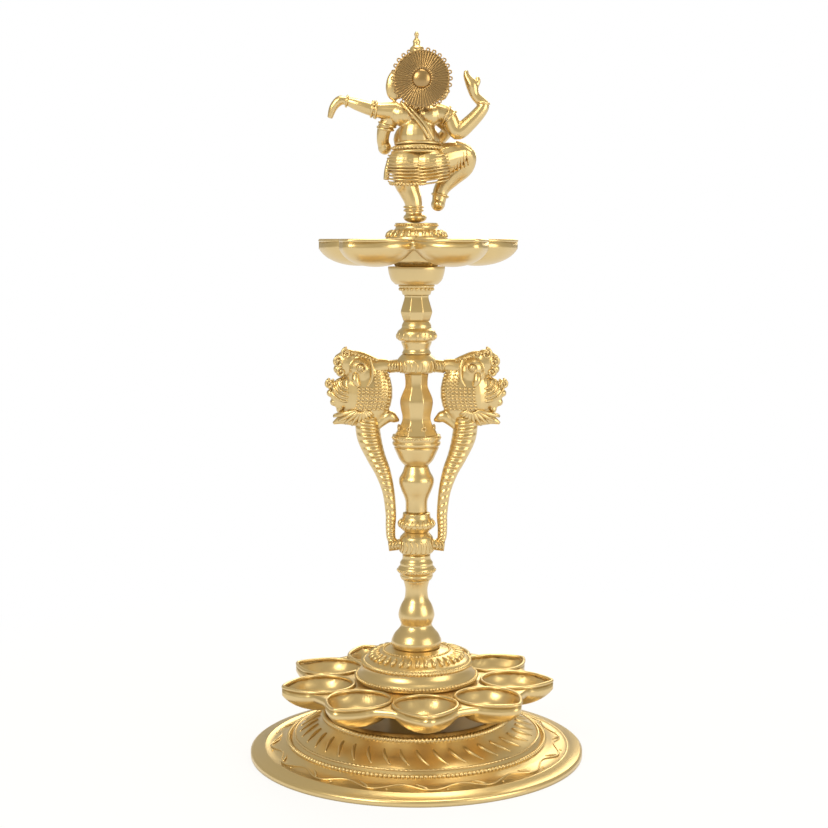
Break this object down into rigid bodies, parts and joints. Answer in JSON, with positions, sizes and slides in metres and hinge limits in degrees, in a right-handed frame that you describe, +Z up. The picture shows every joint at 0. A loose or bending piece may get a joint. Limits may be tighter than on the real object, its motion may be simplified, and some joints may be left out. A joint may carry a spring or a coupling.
{
  "type": "oil lamp",
  "caption": "Tall two-tier brass oil lamp with petal-shaped wick trays, turned stem, parrot side brackets and a dancing elephant-headed figure with halo on top.",
  "frame": {"origin": "centre of the base at the level that it stands on", "axes": "+Z up along the stem; the figure faces +Y; +X is to the right in the picture's view along +Y"},
  "size_m": [0.23, 0.23, 0.492],
  "materials": {
    "pale_brass": "matte lacquered cast brass, darker in the recesses",
    "dark_brass": "browned cast brass",
    "rod_brass": "drawn rod, plain"
  },
  "bodies": {
    "root": {"base_plate": "pale_brass", "base_washer": "pale_brass", "base_nut": "pale_brass", "tie_rod": "rod_brass", "tray_spacer": "pale_brass", "lower_tray": "pale_brass", "upper_tray": "pale_brass", "tray_dome": "pale_brass", "stem_foot": "pale_brass", "stem_bead_ring": "pale_brass", "lower_bracket_collar": "pale_brass", "stem_leaf_ring": "pale_brass", "stem_baluster": "pale_brass", "stem_knob": "pale_brass", "faceted_baluster": "pale_brass", "upper_bracket_collar": "pale_brass", "stem_upper_rings": "pale_brass", "small_faceted_baluster": "pale_brass", "stem_capital": "pale_brass", "tray_hub": "pale_brass", "left_parrot_bracket": "pale_brass", "right_parrot_bracket": "pale_brass", "lotus_pedestal": "pale_brass", "dancing_figure": "pale_brass", "halo_disc": "dark_brass", "halo_boss": "dark_brass"}
  },
  "joints": []
}
